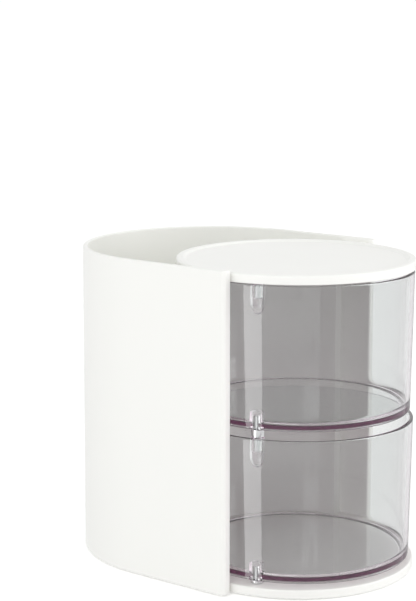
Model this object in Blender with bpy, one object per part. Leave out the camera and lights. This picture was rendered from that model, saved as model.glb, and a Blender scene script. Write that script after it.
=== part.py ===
"""Hair accessory organizer: a U-shaped shell with a brush compartment and two swing-out drawers.

Metres, +Z up. The drawers are at the front, -Y, and the origin is under the middle of the footprint.
Run with blender --background --python part.py, or from the text editor.
"""

import math

import bmesh
import bpy
from mathutils import Matrix, Vector

MM = 0.001

# Footprint and height
BAY_RADIUS = 60.5 * MM          # cover's radius, round which the front is laid out
ARC_SPACING = 53.2 * MM         # from the bay's centre back to the rear arc's centre
SHELL_TOP = 160.0 * MM
FRONT_REACH = 5.8 * MM          # the shell's front ends stand ahead of the bay's centre
FOOT_STAND = 0.8 * MM           # how far the pads lift the casing

# Fits
FIT = 0.3 * MM                  # between pieces that are fitted together
OVERRUN = 2.0 * MM              # how far every cutter runs past its face
SINK = 0.6 * MM                 # how far a boss or rib runs into what carries it

# Shell and housing walls
SHELL_WALL = 2.5 * MM
HOUSING_WALL = 2.2 * MM
COVER_SIDE_GAP = 2.0 * MM       # between the cover's edge and the housing's side walls
LIP_DEPTH = 2.4 * MM            # thickness of the shell's returned front edges
LIP_COVERAGE = 0.4 * MM         # how far a returned edge passes the housing wall behind it
FRONT_EDGE_ROUND = 2.2 * MM
LIP_EDGE_ROUND = 1.0 * MM
SHELL_TOP_ROUND = 0.8 * MM
SHELL_FOOT_ROUND = 0.5 * MM
PARTITION_INSET = 0.3 * MM      # from the cover's edge in to the partition's outside
WEB_SETBACK = 13.0 * MM         # from the bay's centre back to the webs beside the partition
SIDE_WALL_DROP = 1.2 * MM       # housing side walls end this far below the cover's top

# Top cover
COVER_DROP = 1.5 * MM           # cover's top below the shell's top
COVER_HEIGHT = 4.6 * MM
COVER_PLATE = 2.0 * MM
COVER_RIM_WALL = 2.5 * MM
TRAY_RIM_WIDTH = 3.6 * MM
TRAY_DEPTH = 1.0 * MM
TRAY_SLOPE = 0.9 * MM
COVER_EDGE_ROUND = 1.2 * MM
COVER_LOW_CHAMFER = 0.3 * MM

# Cover tabs, which snap into windows in the partition
TAB_ANGLES = (50.0, 90.0, 130.0)
TAB_WIDTH = 9.0 * MM
TAB_WALL = 1.4 * MM
TAB_LENGTH = 7.0 * MM
CATCH_HEIGHT = 2.0 * MM
CATCH_REACH = 1.5 * MM

# Base plate
BASE_INSET = 0.2 * MM           # from the cover's edge in to the base's front edge
BASE_HEIGHT = 4.4 * MM
BASE_PLATE = 2.4 * MM
BASE_RIM_WALL = 2.4 * MM
BASE_TOP_ROUND = 0.9 * MM
BASE_FOOT_ROUND = 0.5 * MM
RIB_WIDTH = 1.6 * MM
RIB_SETBACK = 0.6 * MM          # ribs stop this far above the rim's foot

# Drawers
DRAWER_SIDE_GAP = 0.4 * MM      # between a drawer's rim and the partition's curve
DRAWER_FORWARD = 2.4 * MM       # drawer's centre ahead of the bay's centre
DRAWER_WALL = 1.8 * MM
DRAWER_FLOOR = 2.2 * MM
DRAWER_DRAFT = 1.6 * MM         # how much smaller the foot's radius is than the rim's
DRAWER_FOOT_ROUND = 0.7 * MM
DRAWER_COVE = 4.0 * MM
GAP_UNDER_LOWER = 2.0 * MM
GAP_BETWEEN = 4.2 * MM
GAP_OVER_UPPER = 1.0 * MM

# Pivot
PIVOT_ANGLE = 192.6             # degrees, seen from above, from +X round the drawer's centre
PIVOT_EDGE = 3.6 * MM           # from the drawer foot's outside in to the pivot axis
PIN_RADIUS = 1.5 * MM
PIN_REACH = 6.6 * MM            # pin length inside each drawer socket
BOSS_RADIUS = 3.5 * MM
RIM_BOSS_DEPTH = 13.0 * MM
FLOOR_BOSS_RISE = 6.4 * MM
SOCKET_SPARE = 0.5 * MM         # room past a pin's tip
BOSS_WEB_WIDTH = 2.4 * MM
COLLAR_RADIUS = 3.2 * MM

# Screws and their bosses
SCREW_RADIUS = 1.2 * MM
SCREW_LENGTH = 10.5 * MM
HEAD_RADIUS = 2.6 * MM
HEAD_HEIGHT = 1.6 * MM
HEAD_CHAMFER = 0.4 * MM
HEAD_SOCKET_RADIUS = 1.1 * MM
HEAD_SOCKET_DEPTH = 0.8 * MM
SCREW_BOSS_RADIUS = 3.2 * MM
SCREW_BOSS_HEIGHT = 13.0 * MM
BOSS_STEP = 0.2 * MM            # a boss's foot stands this far above its wall's foot
SCREW_SEAT_RADIUS = 4.3 * MM
SCREW_EDGE = 4.7 * MM           # from the base's side or rear edge in to a screw's axis
SCREW_WEB_WIDTH = 2.4 * MM
HOUSING_SCREW_ANGLE = 35.0      # degrees from +X round the bay's centre
SHELL_SCREW_ANGLES = (35.0, 90.0, 145.0)

# Anti-slip pads
PAD_RADIUS = 5.0 * MM
PAD_RECESS = 0.9 * MM
PAD_CHAMFER = 0.25 * MM
PAD_SEAT_WALL = 1.4 * MM
FRONT_PAD_ANGLES = (-128.0, -52.0)
REAR_PAD_ANGLES = (50.0, 130.0)
PAD_EDGE_INSET = 12.0 * MM      # from the base's outline in to a pad's centre

# Facets
DISC_SEGMENTS = 72
ARC_SEGMENTS = 36
SMALL_SEGMENTS = 20
TINY_SEGMENTS = 12
ROUND_SEGMENTS = 2
CORNER_SEGMENTS = 3
COVE_SEGMENTS = 4
SMOOTH_ANGLE = 38.0
WELD = 0.0002 * MM

# Places worked out from the sizes above
SIDE_IN = BAY_RADIUS + COVER_SIDE_GAP
SIDE_OUT = SIDE_IN + HOUSING_WALL
SHELL_IN = SIDE_OUT + FIT
HALF_WIDTH = SHELL_IN + SHELL_WALL
LENGTH = BAY_RADIUS + ARC_SPACING + HALF_WIDTH
BAY_Y = BAY_RADIUS - LENGTH / 2
REAR_Y = BAY_Y + ARC_SPACING
FRONT_Y = BAY_Y - FRONT_REACH
LIP_BACK_Y = FRONT_Y + LIP_DEPTH
SHOULDER_Y = LIP_BACK_Y + FIT
LIP_IN = SIDE_IN - LIP_COVERAGE
PARTITION_OUT = BAY_RADIUS - PARTITION_INSET
PARTITION_IN = PARTITION_OUT - HOUSING_WALL
WEB_FRONT_Y = BAY_Y + WEB_SETBACK
WEB_BACK_Y = WEB_FRONT_Y + HOUSING_WALL

BASE_TOP = FOOT_STAND + BASE_HEIGHT
BASE_UNDER_PLATE = BASE_TOP - BASE_PLATE
BASE_RADIUS = BAY_RADIUS - BASE_INSET
COVER_TOP = SHELL_TOP - COVER_DROP
COVER_FOOT = COVER_TOP - COVER_HEIGHT
TRAY_FLOOR = COVER_TOP - TRAY_DEPTH
COVER_UNDER_PLATE = TRAY_FLOOR - COVER_PLATE
HOUSING_FOOT = BASE_TOP + FIT
HOUSING_TOP = COVER_TOP - SIDE_WALL_DROP
PARTITION_TOP = COVER_FOOT - FIT

DRAWER_Y = BAY_Y - DRAWER_FORWARD
DRAWER_RADIUS = PARTITION_IN - DRAWER_SIDE_GAP
FOOT_RADIUS = DRAWER_RADIUS - DRAWER_DRAFT
STACK_HEIGHT = COVER_FOOT - GAP_OVER_UPPER - BASE_TOP - GAP_UNDER_LOWER
DRAWER_HEIGHT = (STACK_HEIGHT - GAP_BETWEEN) / 2
LOWER_FOOT = BASE_TOP + GAP_UNDER_LOWER
UPPER_FOOT = LOWER_FOOT + DRAWER_HEIGHT + GAP_BETWEEN
PIVOT_REACH = FOOT_RADIUS - PIVOT_EDGE
PIVOT_TURN = math.radians(PIVOT_ANGLE)
PIVOT_X = PIVOT_REACH * math.cos(PIVOT_TURN)
PIVOT_Y = DRAWER_Y + PIVOT_REACH * math.sin(PIVOT_TURN)
SOCKET_RADIUS = PIN_RADIUS + FIT
SOCKET_DEPTH = PIN_REACH + SOCKET_SPARE
SEAT_RADIUS = PAD_RADIUS + FIT

WHITE = (0.90, 0.90, 0.89, 1.0)
CLEAR = (0.93, 0.88, 0.91, 0.35)
STEEL = (0.72, 0.72, 0.73, 1.0)
GREY_RUBBER = (0.55, 0.55, 0.54, 1.0)


def make_material(name, colour, roughness, metallic=0.0, transmission=0.0):
    """One finish as a Principled BSDF."""
    material = bpy.data.materials.new(name)
    material.use_nodes = True
    shader = material.node_tree.nodes["Principled BSDF"]
    shader.inputs["Base Color"].default_value = colour
    shader.inputs["Roughness"].default_value = roughness
    shader.inputs["Metallic"].default_value = metallic
    shader.inputs["Transmission Weight"].default_value = transmission
    material.diffuse_color = colour
    return material


def arc(centre, radius, start, end, segments):
    """Points on an arc from start to end, in degrees, both ends included."""
    points = []
    for step in range(segments + 1):
        angle = math.radians(start + (end - start) * step / segments)
        points.append((centre[0] + radius * math.cos(angle), centre[1] + radius * math.sin(angle)))
    return points


def mirrored(points):
    """The same points on the other side of X, in the opposite order."""
    return [(-x, y) for x, y in reversed(points)]


def polar(centre_y, radius, degrees):
    """A plan point at an angle round a centre on the Y axis."""
    angle = math.radians(degrees)
    return (radius * math.cos(angle), centre_y + radius * math.sin(angle))


def new_object(name, bm):
    """Turn a bmesh into a named object in the scene."""
    bmesh.ops.recalc_face_normals(bm, faces=bm.faces[:])
    mesh = bpy.data.meshes.new(name)
    bm.to_mesh(mesh)
    bm.free()
    piece = bpy.data.objects.new(name, mesh)
    bpy.context.scene.collection.objects.link(piece)
    return piece


def prism(name, outline, low, high, top_round=0.0, foot_round=0.0):
    """A plan outline raised from low to high, with its top and foot edges rounded."""
    bm = bmesh.new()
    ring = [bm.verts.new((x, y, low)) for x, y in outline]
    floor = bm.faces.new(ring)
    raised = bmesh.ops.extrude_face_region(bm, geom=[floor])["geom"]
    tops = [item for item in raised if isinstance(item, bmesh.types.BMVert)]
    bmesh.ops.translate(bm, vec=(0.0, 0.0, high - low), verts=tops)
    middle = (low + high) / 2
    for width, is_top in ((top_round, True), (foot_round, False)):
        if width > 0.0:
            edges = [edge for edge in bm.edges if all((v.co.z > middle) == is_top for v in edge.verts)]
            bmesh.ops.bevel(bm, geom=edges, offset=width, segments=ROUND_SEGMENTS, affect="EDGES",
                            profile=0.5, material=-1)
    return new_object(name, bm)


def lathe(name, profile, centre, segments):
    """A closed profile of (radius, height) points, from axis to axis, spun round a vertical axis."""
    bm = bmesh.new()
    chain = [bm.verts.new((centre[0] + radius, centre[1], height)) for radius, height in profile]
    edges = [bm.edges.new(pair) for pair in zip(chain, chain[1:])]
    bmesh.ops.spin(bm, geom=chain + edges, cent=(centre[0], centre[1], 0.0), axis=(0.0, 0.0, 1.0),
                   angle=math.tau, steps=segments, use_merge=True)
    bmesh.ops.remove_doubles(bm, verts=bm.verts[:], dist=WELD)
    return new_object(name, bm)


def drum(name, centre, radius, low, high, segments=SMALL_SEGMENTS):
    """A plain upright cylinder."""
    return lathe(name, [(0.0, low), (radius, low), (radius, high), (0.0, high)], centre, segments)


def block(name, centre, width, depth, low, high, turn=0.0):
    """A box on a plan centre, turned about the vertical by degrees."""
    bm = bmesh.new()
    bmesh.ops.create_cube(bm, size=1.0)
    bmesh.ops.scale(bm, vec=(width, depth, high - low), verts=bm.verts[:])
    bmesh.ops.rotate(bm, cent=(0.0, 0.0, 0.0), matrix=Matrix.Rotation(math.radians(turn), 3, "Z"),
                     verts=bm.verts[:])
    bmesh.ops.translate(bm, vec=(centre[0], centre[1], (low + high) / 2), verts=bm.verts[:])
    return new_object(name, bm)


def weld(mesh):
    """Close the hairline gaps between a mesh's points."""
    bm = bmesh.new()
    bm.from_mesh(mesh)
    bmesh.ops.remove_doubles(bm, verts=bm.verts[:], dist=WELD)
    bmesh.ops.dissolve_degenerate(bm, edges=bm.edges[:], dist=WELD)
    bm.to_mesh(mesh)
    bm.free()


def combine(body, tool, operation):
    """Join a tool to a body or cut it away, and remove the tool."""
    modifier = body.modifiers.new(operation, "BOOLEAN")
    modifier.operation = operation
    modifier.solver = "EXACT"
    modifier.object = tool
    bpy.context.view_layer.update()
    graph = bpy.context.evaluated_depsgraph_get()
    result = bpy.data.meshes.new_from_object(body.evaluated_get(graph))
    body.modifiers.clear()
    body.data = result
    bpy.data.objects.remove(tool)
    weld(result)
    return body


def join(body, *tools):
    """Fuse the tools to the body."""
    for tool in tools:
        combine(body, tool, "UNION")
    return body


def cut(body, *tools):
    """Cut the tools out of the body."""
    for tool in tools:
        combine(body, tool, "DIFFERENCE")
    return body


def finish(piece, material, origin=(0.0, 0.0, 0.0)):
    """Shade and dress a piece, and put its origin where it turns or stands."""
    bm = bmesh.new()
    bm.from_mesh(piece.data)
    many_sided = [face for face in bm.faces if len(face.verts) > 4]
    bmesh.ops.triangulate(bm, faces=many_sided, quad_method="BEAUTY", ngon_method="BEAUTY")
    bm.to_mesh(piece.data)
    bm.free()
    piece.data.transform(Matrix.Translation(-Vector(origin)))
    piece.location = origin
    piece.data.materials.clear()
    piece.data.materials.append(material)
    piece.data.shade_smooth()
    piece.data.set_sharp_from_angle(angle=math.radians(SMOOTH_ANGLE))
    return piece


def shell_outline():
    """Plan of the U-shaped wall with its returned front edges."""
    corner = (HALF_WIDTH - FRONT_EDGE_ROUND, FRONT_Y + FRONT_EDGE_ROUND)
    lip_corner = (LIP_IN + LIP_EDGE_ROUND, FRONT_Y + LIP_EDGE_ROUND)
    right = arc(lip_corner, LIP_EDGE_ROUND, 180.0, 270.0, CORNER_SEGMENTS)
    right += arc(corner, FRONT_EDGE_ROUND, 270.0, 360.0, CORNER_SEGMENTS)
    outer = arc((0.0, REAR_Y), HALF_WIDTH, 0.0, 180.0, ARC_SEGMENTS)
    inner = arc((0.0, REAR_Y), SHELL_IN, 180.0, 0.0, ARC_SEGMENTS)
    left_back = [(-LIP_IN, LIP_BACK_Y), (-SHELL_IN, LIP_BACK_Y)]
    return right + outer + mirrored(right) + left_back + inner + mirrored(left_back)


def housing_outline():
    """Plan of the partition behind the drawers, with the webs and side walls that carry it."""
    start_out = math.degrees(math.asin((WEB_BACK_Y - BAY_Y) / PARTITION_OUT))
    start_in = math.degrees(math.asin((WEB_FRONT_Y - BAY_Y) / PARTITION_IN))
    outer = arc((0.0, BAY_Y), PARTITION_OUT, start_out, 180.0 - start_out, ARC_SEGMENTS)
    inner = arc((0.0, BAY_Y), PARTITION_IN, 180.0 - start_in, start_in, ARC_SEGMENTS)
    right = [(SIDE_IN, WEB_FRONT_Y), (SIDE_IN, SHOULDER_Y), (SIDE_OUT, SHOULDER_Y), (SIDE_OUT, WEB_BACK_Y)]
    return right + outer + mirrored(right) + inner


def base_outline(inset=0.0):
    """Plan of the base: a round front, and behind the shoulders the inside of the shell."""
    radius = BASE_RADIUS - inset
    half = SIDE_OUT - inset
    shoulder = SHOULDER_Y + inset
    start = math.degrees(math.asin((shoulder - BAY_Y) / radius))
    front = arc((0.0, BAY_Y), radius, 180.0 - start, 360.0 + start, DISC_SEGMENTS // 2)
    rear = arc((0.0, REAR_Y), half, 0.0, 180.0, ARC_SEGMENTS)
    return front + [(half, shoulder)] + rear + [(-half, shoulder)]


def housing_screw_places():
    """Plan points of the screws that hold the housing to the base."""
    beside_web = (SIDE_OUT - SCREW_EDGE, WEB_BACK_Y + SCREW_BOSS_RADIUS - SINK)
    reach = PARTITION_OUT + SCREW_BOSS_RADIUS - SINK
    behind = polar(BAY_Y, reach, HOUSING_SCREW_ANGLE)
    return [beside_web, behind] + mirrored([beside_web, behind])


def shell_screw_places():
    """Plan points of the screws that hold the shell to the base."""
    return [polar(REAR_Y, SIDE_OUT - SCREW_EDGE, angle) for angle in SHELL_SCREW_ANGLES]


def pad_places():
    """Plan points of the anti-slip pads."""
    front = [polar(BAY_Y, BASE_RADIUS - PAD_EDGE_INSET, angle) for angle in FRONT_PAD_ANGLES]
    rear = [polar(REAR_Y, SIDE_OUT - PAD_EDGE_INSET, angle) for angle in REAR_PAD_ANGLES]
    return front + rear


def add_screw_bosses(body, places):
    """Bosses that rise from the base's top, each with a pilot hole for its screw."""
    pilot_top = HOUSING_FOOT + SCREW_LENGTH
    for place in places:
        join(body, drum("boss", place, SCREW_BOSS_RADIUS, HOUSING_FOOT + BOSS_STEP,
                        HOUSING_FOOT + SCREW_BOSS_HEIGHT))
        cut(body, drum("pilot", place, SCREW_RADIUS + FIT, HOUSING_FOOT - OVERRUN, pilot_top, TINY_SEGMENTS))
    return body


def make_shell(material):
    """Outer wall of the casing, open at the front and at the top."""
    body = prism("outer_shell", shell_outline(), FOOT_STAND, SHELL_TOP, SHELL_TOP_ROUND, SHELL_FOOT_ROUND)
    web_length = SCREW_EDGE + FIT + SINK
    for angle in SHELL_SCREW_ANGLES:
        place = polar(REAR_Y, SIDE_OUT - SCREW_EDGE + web_length / 2, angle)
        join(body, block("screw_web", place, web_length, SCREW_WEB_WIDTH, HOUSING_FOOT + SINK,
                         HOUSING_FOOT + SCREW_BOSS_HEIGHT - SINK, angle))
    add_screw_bosses(body, shell_screw_places())
    return finish(body, material)


def make_housing(material):
    """Curved partition behind the drawers, screwed to the base and snapped to the cover."""
    body = prism("drawer_housing", housing_outline(), HOUSING_FOOT, HOUSING_TOP)
    seat = drum("cover_seat", (0.0, BAY_Y), BAY_RADIUS + FIT, PARTITION_TOP, HOUSING_TOP + OVERRUN,
                DISC_SEGMENTS)
    cut(body, seat)
    add_screw_bosses(body, housing_screw_places())
    window_low = COVER_UNDER_PLATE - TAB_LENGTH + SINK - FIT
    window_high = window_low + CATCH_HEIGHT + FIT * 2
    for angle in TAB_ANGLES:
        place = polar(BAY_Y, (PARTITION_IN + PARTITION_OUT) / 2, angle)
        cut(body, block("window", place, HOUSING_WALL + OVERRUN, TAB_WIDTH + FIT * 2, window_low,
                        window_high, angle))
    return finish(body, material)


def make_cover(material):
    """Round top with a shallow tray, snap tabs and the upper pivot's boss."""
    rim_in = BAY_RADIUS - COVER_RIM_WALL
    tray_edge = BAY_RADIUS - TRAY_RIM_WIDTH
    edge_centre = (BAY_RADIUS - COVER_EDGE_ROUND, COVER_TOP - COVER_EDGE_ROUND)
    profile = [(0.0, COVER_UNDER_PLATE), (rim_in, COVER_UNDER_PLATE), (rim_in, COVER_FOOT)]
    profile += [(BAY_RADIUS - COVER_LOW_CHAMFER, COVER_FOOT), (BAY_RADIUS, COVER_FOOT + COVER_LOW_CHAMFER)]
    profile += arc(edge_centre, COVER_EDGE_ROUND, 0.0, 90.0, CORNER_SEGMENTS)
    profile += [(tray_edge, COVER_TOP), (tray_edge - TRAY_SLOPE, TRAY_FLOOR), (0.0, TRAY_FLOOR)]
    body = lathe("top_cover", profile, (0.0, BAY_Y), DISC_SEGMENTS)
    tab_out = math.sqrt((PARTITION_IN - FIT) ** 2 - (TAB_WIDTH / 2) ** 2)
    tab_foot = COVER_UNDER_PLATE - TAB_LENGTH
    for angle in TAB_ANGLES:
        leaf_place = polar(BAY_Y, tab_out - TAB_WALL / 2, angle)
        leaf = block("tab", leaf_place, TAB_WALL, TAB_WIDTH, tab_foot, COVER_UNDER_PLATE + SINK, angle)
        catch_place = polar(BAY_Y, tab_out + (CATCH_REACH - SINK) / 2, angle)
        catch = block("catch", catch_place, CATCH_REACH + SINK, TAB_WIDTH - SINK * 2, tab_foot + SINK,
                      tab_foot + SINK + CATCH_HEIGHT, angle)
        join(body, join(leaf, catch))
    pivot = (PIVOT_X, PIVOT_Y)
    join(body, drum("pivot_boss", pivot, BOSS_RADIUS, COVER_FOOT, COVER_UNDER_PLATE + SINK))
    cut(body, drum("pivot_bore", pivot, SOCKET_RADIUS, COVER_FOOT - OVERRUN, TRAY_FLOOR - COVER_PLATE / 2))
    return finish(body, material, (0.0, BAY_Y, COVER_TOP))


def make_base(material):
    """Base plate: hollow below, with ribs, pad seats, screw seats and the lower pivot's boss."""
    body = prism("base_plate", base_outline(), FOOT_STAND, BASE_TOP, BASE_TOP_ROUND, BASE_FOOT_ROUND)
    cut(body, prism("hollow", base_outline(BASE_RIM_WALL), FOOT_STAND - OVERRUN, BASE_UNDER_PLATE))
    pivot = (PIVOT_X, PIVOT_Y)
    screws = housing_screw_places() + shell_screw_places()
    rib_low = FOOT_STAND + RIB_SETBACK
    rib_high = BASE_UNDER_PLATE + SINK
    front_inside = BAY_Y - BASE_RADIUS + BASE_RIM_WALL
    rear_inside = REAR_Y + SIDE_OUT - BASE_RIM_WALL
    spine_length = rear_inside - front_inside + SINK * 2
    join(body, block("spine", (0.0, (front_inside + rear_inside) / 2), RIB_WIDTH, spine_length, rib_low,
                     rib_high))
    cross_reach = SIDE_OUT - BASE_RIM_WALL + SINK
    for place_y in (WEB_BACK_Y + SCREW_SEAT_RADIUS * 2, REAR_Y):
        join(body, block("cross_rib", (0.0, place_y), cross_reach * 2, RIB_WIDTH, rib_low, rib_high))
    for place in screws:
        join(body, drum("screw_seat", place, SCREW_SEAT_RADIUS, FOOT_STAND + BOSS_STEP, rib_high))
    for place in pad_places():
        join(body, drum("pad_seat", place, SEAT_RADIUS + PAD_SEAT_WALL, FOOT_STAND + BOSS_STEP, rib_high))
    join(body, drum("pivot_boss", pivot, BOSS_RADIUS, FOOT_STAND + BOSS_STEP, rib_high))
    seat_top = BASE_TOP - BASE_PLATE
    for place in screws:
        cut(body, drum("head_room", place, HEAD_RADIUS + FIT, FOOT_STAND - OVERRUN, seat_top))
        cut(body, drum("shank_hole", place, SCREW_RADIUS + FIT, seat_top - SINK, BASE_TOP + OVERRUN,
                       TINY_SEGMENTS))
    for place in pad_places():
        cut(body, drum("pad_recess", place, SEAT_RADIUS, FOOT_STAND - OVERRUN, FOOT_STAND + PAD_RECESS))
    cut(body, drum("pivot_bore", pivot, SOCKET_RADIUS, BASE_TOP - BASE_PLATE - FIT, BASE_TOP + OVERRUN))
    return finish(body, material)


def drawer_profile(foot):
    """Half section of a drawer: drafted wall, rounded rim, and a cove where the wall meets the floor."""
    rim = foot + DRAWER_HEIGHT
    half_wall = DRAWER_WALL / 2
    profile = [(0.0, foot), (FOOT_RADIUS - DRAWER_FOOT_ROUND, foot)]
    profile += arc((FOOT_RADIUS - DRAWER_FOOT_ROUND, foot + DRAWER_FOOT_ROUND), DRAWER_FOOT_ROUND,
                   -45.0, 0.0, ROUND_SEGMENTS)
    profile += arc((DRAWER_RADIUS - half_wall, rim - half_wall), half_wall, 0.0, 180.0, CORNER_SEGMENTS)
    cove_centre = (FOOT_RADIUS - DRAWER_WALL - DRAWER_COVE, foot + DRAWER_FLOOR + DRAWER_COVE)
    profile += arc(cove_centre, DRAWER_COVE, 0.0, -90.0, COVE_SEGMENTS)
    return profile + [(0.0, foot + DRAWER_FLOOR)]


def rim_boss_profile(low, rim):
    """Half section of the boss that hangs from a drawer's rim, with a round lower end."""
    end = arc((0.0, low + BOSS_RADIUS), BOSS_RADIUS, -90.0, 0.0, COVE_SEGMENTS)
    return end + [(BOSS_RADIUS, rim), (0.0, rim)]


def make_drawer(name, foot, material):
    """Round clear drawer with a pivot socket under its rim and another in its floor."""
    rim = foot + DRAWER_HEIGHT
    pivot = (PIVOT_X, PIVOT_Y)
    body = lathe(name, drawer_profile(foot), (0.0, DRAWER_Y), DISC_SEGMENTS)
    web_reach = DRAWER_RADIUS - DRAWER_WALL / 2 - PIVOT_REACH
    web_place = polar(DRAWER_Y, PIVOT_REACH + web_reach / 2, PIVOT_ANGLE)
    boss_low = rim - RIM_BOSS_DEPTH
    web_low = boss_low + BOSS_RADIUS
    web_high = rim - DRAWER_WALL / 2
    join(body, lathe("rim_boss", rim_boss_profile(boss_low, rim), pivot, SMALL_SEGMENTS))
    join(body, block("boss_web", web_place, web_reach, BOSS_WEB_WIDTH, web_low, web_high, PIVOT_ANGLE))
    join(body, drum("floor_boss", pivot, BOSS_RADIUS, foot + DRAWER_FLOOR / 2,
                    foot + DRAWER_FLOOR + FLOOR_BOSS_RISE))
    cut(body, drum("rim_socket", pivot, SOCKET_RADIUS, rim - SOCKET_DEPTH, rim + OVERRUN))
    cut(body, drum("floor_socket", pivot, SOCKET_RADIUS, foot - OVERRUN, foot + SOCKET_DEPTH))
    return finish(body, material, (PIVOT_X, PIVOT_Y, foot))


def make_pin(name, low, collar_low, collar_high, high, material):
    """Shouldered pivot pin: a shank with a spacing collar."""
    profile = [(0.0, low), (PIN_RADIUS, low), (PIN_RADIUS, collar_low), (COLLAR_RADIUS, collar_low)]
    profile += [(COLLAR_RADIUS, collar_high), (PIN_RADIUS, collar_high), (PIN_RADIUS, high), (0.0, high)]
    body = lathe(name, profile, (PIVOT_X, PIVOT_Y), SMALL_SEGMENTS)
    return finish(body, material, (PIVOT_X, PIVOT_Y, collar_low))


def make_pins(material):
    """The lower, middle and upper pins, one above the other on the drawers' axis."""
    lower_rim = LOWER_FOOT + DRAWER_HEIGHT
    upper_rim = UPPER_FOOT + DRAWER_HEIGHT
    base_end = BASE_TOP - BASE_PLATE
    cover_end = TRAY_FLOOR - COVER_PLATE / 2 - FIT
    return [
        make_pin("lower_pivot_pin", base_end, BASE_TOP + FIT, LOWER_FOOT - FIT, LOWER_FOOT + PIN_REACH,
                 material),
        make_pin("middle_pivot_pin", lower_rim - PIN_REACH, lower_rim + FIT, UPPER_FOOT - FIT,
                 UPPER_FOOT + PIN_REACH, material),
        make_pin("upper_pivot_pin", upper_rim - PIN_REACH, upper_rim + FIT, COVER_FOOT - FIT, cover_end,
                 material),
    ]


def make_screw(name, place, material):
    """Pan-head screw, driven from below, with a plain driving recess."""
    head_top = BASE_TOP - BASE_PLATE - FIT
    head_low = head_top - HEAD_HEIGHT
    tip = HOUSING_FOOT + SCREW_LENGTH - FIT
    profile = [(0.0, head_low + HEAD_SOCKET_DEPTH), (HEAD_SOCKET_RADIUS, head_low + HEAD_SOCKET_DEPTH)]
    profile += [(HEAD_SOCKET_RADIUS, head_low), (HEAD_RADIUS - HEAD_CHAMFER, head_low)]
    profile += [(HEAD_RADIUS, head_low + HEAD_CHAMFER), (HEAD_RADIUS, head_top), (SCREW_RADIUS, head_top)]
    profile += [(SCREW_RADIUS, tip - SCREW_RADIUS), (0.0, tip)]
    body = lathe(name, profile, place, TINY_SEGMENTS)
    return finish(body, material, (place[0], place[1], head_low))


def make_pad(name, place, material):
    """Round anti-slip pad, set into its recess."""
    top = FOOT_STAND + PAD_RECESS - FIT
    profile = [(0.0, 0.0), (PAD_RADIUS - PAD_CHAMFER, 0.0), (PAD_RADIUS, PAD_CHAMFER), (PAD_RADIUS, top)]
    body = lathe(name, profile + [(0.0, top)], place, SMALL_SEGMENTS)
    return finish(body, material, (place[0], place[1], 0.0))


def clear_scene():
    """Remove every object that the file opened with."""
    for item in list(bpy.data.objects):
        bpy.data.objects.remove(item)


def main():
    """Build every piece of the organizer."""
    clear_scene()
    white = make_material("white_plastic", WHITE, 0.28)
    clear = make_material("clear_plastic", CLEAR, 0.05, transmission=1.0)
    steel = make_material("pin_steel", STEEL, 0.3, metallic=1.0)
    rubber = make_material("pad_rubber", GREY_RUBBER, 0.8)

    make_shell(white)
    make_housing(white)
    make_cover(white)
    make_base(white)
    make_drawer("lower_drawer", LOWER_FOOT, clear)
    make_drawer("upper_drawer", UPPER_FOOT, clear)
    make_pins(steel)
    for number, place in enumerate(housing_screw_places(), start=1):
        make_screw(f"housing_screw_{number}", place, steel)
    for number, place in enumerate(shell_screw_places(), start=1):
        make_screw(f"shell_screw_{number}", place, steel)
    for number, place in enumerate(pad_places(), start=1):
        make_pad(f"anti_slip_pad_{number}", place, rubber)


main()
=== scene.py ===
"""Looks of the hair accessory organizer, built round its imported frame.

Metres, +Z up. The drawers face -Y, and the origin is under the middle of the footprint.
Each class is one sub-assembly: it takes its places from the frame, builds its pieces and dresses them.
"""

import logging
import math
from dataclasses import dataclass
from enum import Enum

import bmesh
import bpy
from mathutils import Matrix, Vector


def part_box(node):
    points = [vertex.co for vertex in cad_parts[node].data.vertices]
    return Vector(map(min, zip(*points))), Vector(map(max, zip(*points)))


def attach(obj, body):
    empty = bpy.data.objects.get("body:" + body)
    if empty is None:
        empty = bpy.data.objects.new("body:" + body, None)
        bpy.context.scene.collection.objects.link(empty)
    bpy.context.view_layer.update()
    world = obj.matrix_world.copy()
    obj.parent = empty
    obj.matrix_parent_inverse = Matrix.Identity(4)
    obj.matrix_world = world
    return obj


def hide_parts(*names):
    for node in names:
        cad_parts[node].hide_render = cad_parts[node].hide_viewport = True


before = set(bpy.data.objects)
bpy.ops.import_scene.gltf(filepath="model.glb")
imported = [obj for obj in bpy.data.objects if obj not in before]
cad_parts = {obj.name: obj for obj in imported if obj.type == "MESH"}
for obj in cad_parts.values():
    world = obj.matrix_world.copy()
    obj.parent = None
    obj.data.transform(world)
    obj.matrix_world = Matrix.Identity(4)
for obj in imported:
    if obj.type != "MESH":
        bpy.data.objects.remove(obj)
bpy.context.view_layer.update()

LOG = logging.getLogger("organizer")
MM = 0.001

# Allowances: welding, play between pieces, a cutter's overrun, a joined tool's reach into its body
WELD = 0.0002 * MM
FIT = 0.3 * MM
OVERRUN = 2.0 * MM
SINK = 0.6 * MM

# Facets of full turns, of long arcs and of roundings
DISC_STEPS = 256
SMALL_STEPS = 48
ARC_STEPS = 128
OVAL_STEPS = 16
COVE_STEPS = 12
BOLD_STEPS = 8
CLEAR_STEPS = 6
ROUND_STEPS = 5
CORNER_STEPS = 4
FINE_STEPS = 3
BLOCK_STEPS = 2

# Shading: the angle past which an edge stays sharp, and how far large faces outweigh small ones
SHARP_ANGLE = 32.0
FLAT_WEIGHT = 80

# Finishes and light
NOISE_MEAN = 0.5
WAVE_DETAIL = 2.0
GRAIN_DETAIL = 3.0
RING_WANDER = 1.5
WHITE = (1.0, 1.0, 1.0, 1.0)
LIGHT_BOUNCES = 24

Point = tuple[float, float]
Colour = tuple[float, float, float]


class Slot(Enum):
    """The record's material slots."""

    WHITE = "white_plastic"
    CLEAR = "clear_plastic"
    STEEL = "pin_steel"
    RUBBER = "pad_rubber"


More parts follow.
